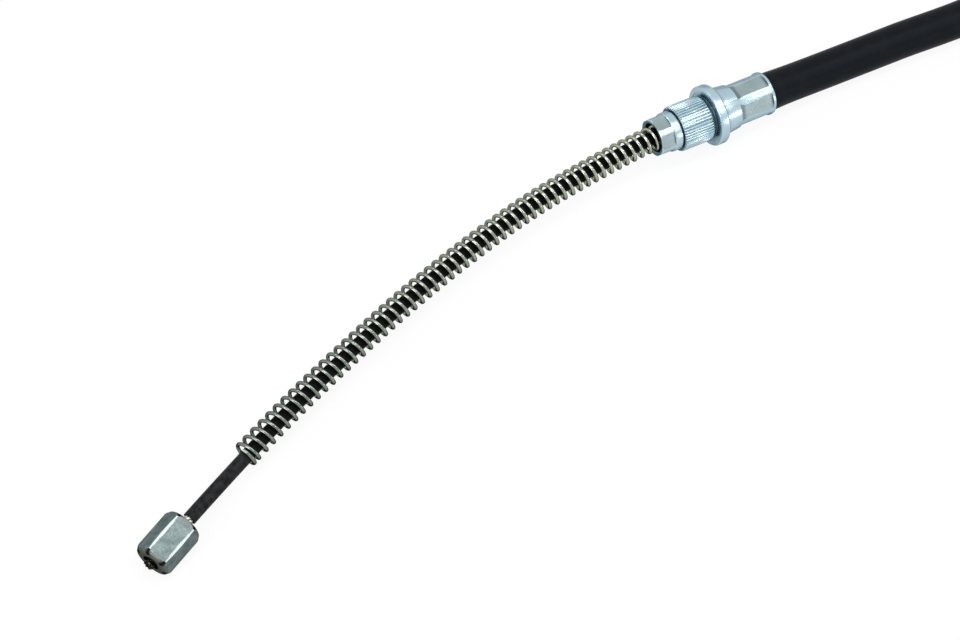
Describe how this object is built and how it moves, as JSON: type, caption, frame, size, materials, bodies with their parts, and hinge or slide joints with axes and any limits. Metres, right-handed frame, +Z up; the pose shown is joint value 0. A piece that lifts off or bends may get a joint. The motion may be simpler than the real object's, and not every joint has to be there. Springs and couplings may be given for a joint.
{
  "type": "parking brake cable",
  "caption": "Sheathed parking brake cable with a crimped end stop, a coil return spring over the coated inner wire, a knurled flanged end fitting and a black conduit.",
  "frame": {"origin": "on the surface the cable lies on, below the middle of the box round everything but the conduit's layers", "axes": "+X along the wheel-end fitting towards the conduit, +Z up from the surface the cable lies on"},
  "size_m": [0.3519, 0.178, 0.017],
  "materials": {
    "wire_rope": "stranded steel rope",
    "black_coating": "black plastic with a fine grain",
    "zinc_steel": "bright blue-white zinc plating",
    "dark_spring_steel": "dark spring steel",
    "black_jacket": "smooth black plastic with a low sheen",
    "casing_steel": "wound steel wire",
    "white_liner": "smooth natural plastic",
    "spring_steel": "greenish grey zinc plating"
  },
  "bodies": {
    "root": {"inner_wire": "wire_rope", "wire_coating": "black_coating", "end_stop": "zinc_steel", "lever_end_stop": "zinc_steel", "wheel_end_fitting": "zinc_steel", "lever_end_fitting": "zinc_steel", "lever_snap_ring": "dark_spring_steel", "conduit_jacket": "black_jacket", "conduit_winding": "casing_steel", "conduit_liner": "white_liner", "return_spring": "spring_steel"}
  },
  "joints": []
}
